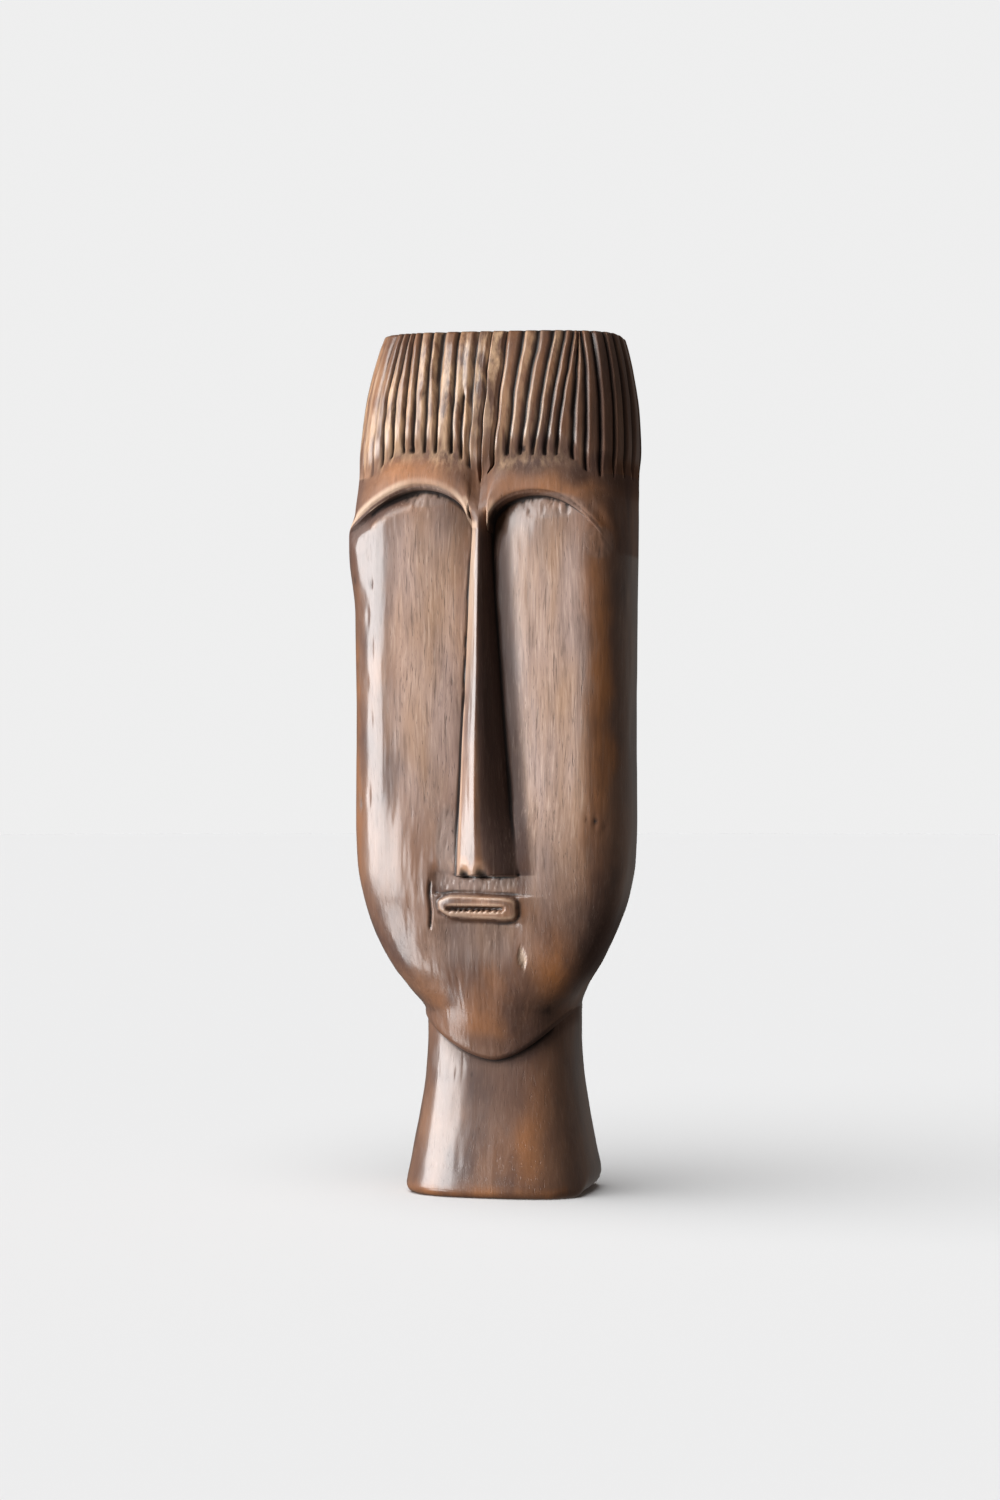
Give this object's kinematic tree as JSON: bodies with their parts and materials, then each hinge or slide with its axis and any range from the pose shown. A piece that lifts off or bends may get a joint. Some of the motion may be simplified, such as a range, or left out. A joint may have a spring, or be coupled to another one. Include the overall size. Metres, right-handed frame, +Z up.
{
  "type": "sculpture",
  "caption": "Abstract carved wood head: flat crown with grooved hair, W-shaped brow, long wedge nose, small block mouth and a flared neck that stands on its flat underside",
  "frame": {"origin": "centre of the flat underside of the base", "axes": "+Z up along the neck and the nose, -Y the way the face looks, +X to the face's left, which is the right-hand side seen from the front"},
  "size_m": [0.1239, 0.0863, 0.37],
  "materials": {
    "carved_wood": "hand-carved brown hardwood, stained and waxed to a satin gloss, darker in the recesses"
  },
  "bodies": {
    "root": {"carved_head": "carved_wood"}
  },
  "joints": []
}
